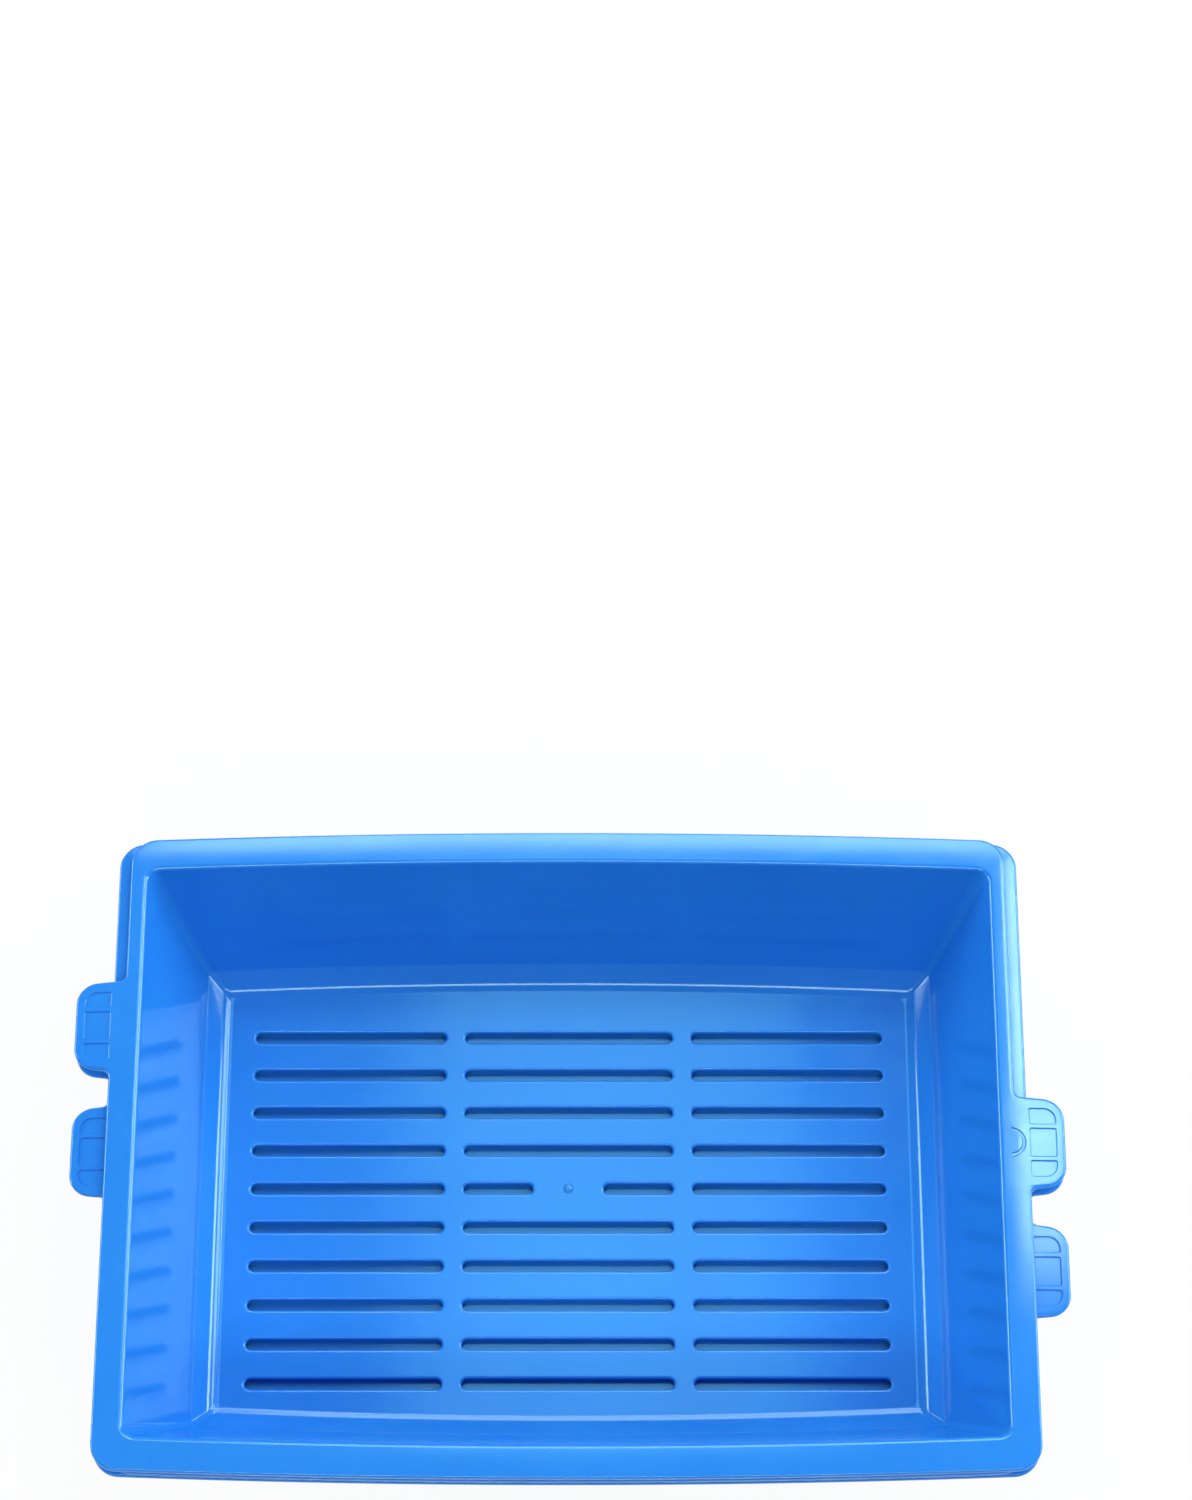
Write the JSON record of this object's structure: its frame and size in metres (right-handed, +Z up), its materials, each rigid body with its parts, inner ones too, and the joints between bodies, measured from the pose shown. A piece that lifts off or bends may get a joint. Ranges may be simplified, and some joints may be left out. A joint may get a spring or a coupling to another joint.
{
  "type": "sifting litter box",
  "caption": "Tapered rectangular litter pans with stepped rims and finger tabs, nested in one stack; the slotted top tray lifts out and sifts clumps from the litter.",
  "frame": {"origin": "under the middle of the stack, on the surface it stands on", "axes": "+X along the long sides, +Y across them to the back long side, +Z up out of the trays"},
  "size_m": [0.485, 0.3276, 0.1053],
  "materials": {
    "pan_plastic": "glossy blue injection-moulded polypropylene",
    "tray_plastic": "glossy blue injection-moulded polypropylene"
  },
  "bodies": {
    "bottom_pan": {"bottom_pan": "pan_plastic"},
    "middle_pan": {"middle_pan": "pan_plastic"},
    "sifting_tray": {"sifting_tray": "tray_plastic"}
  },
  "joints": [
    {"name": "middle_pan_lift", "type": "slide", "parent": "bottom_pan", "child": "middle_pan", "axis": [0, 0, 1], "range_m": [0, 0.12]},
    {"name": "sifting_tray_lift", "type": "slide", "parent": "middle_pan", "child": "sifting_tray", "axis": [0, 0, 1], "range_m": [0, 0.12]}
  ]
}
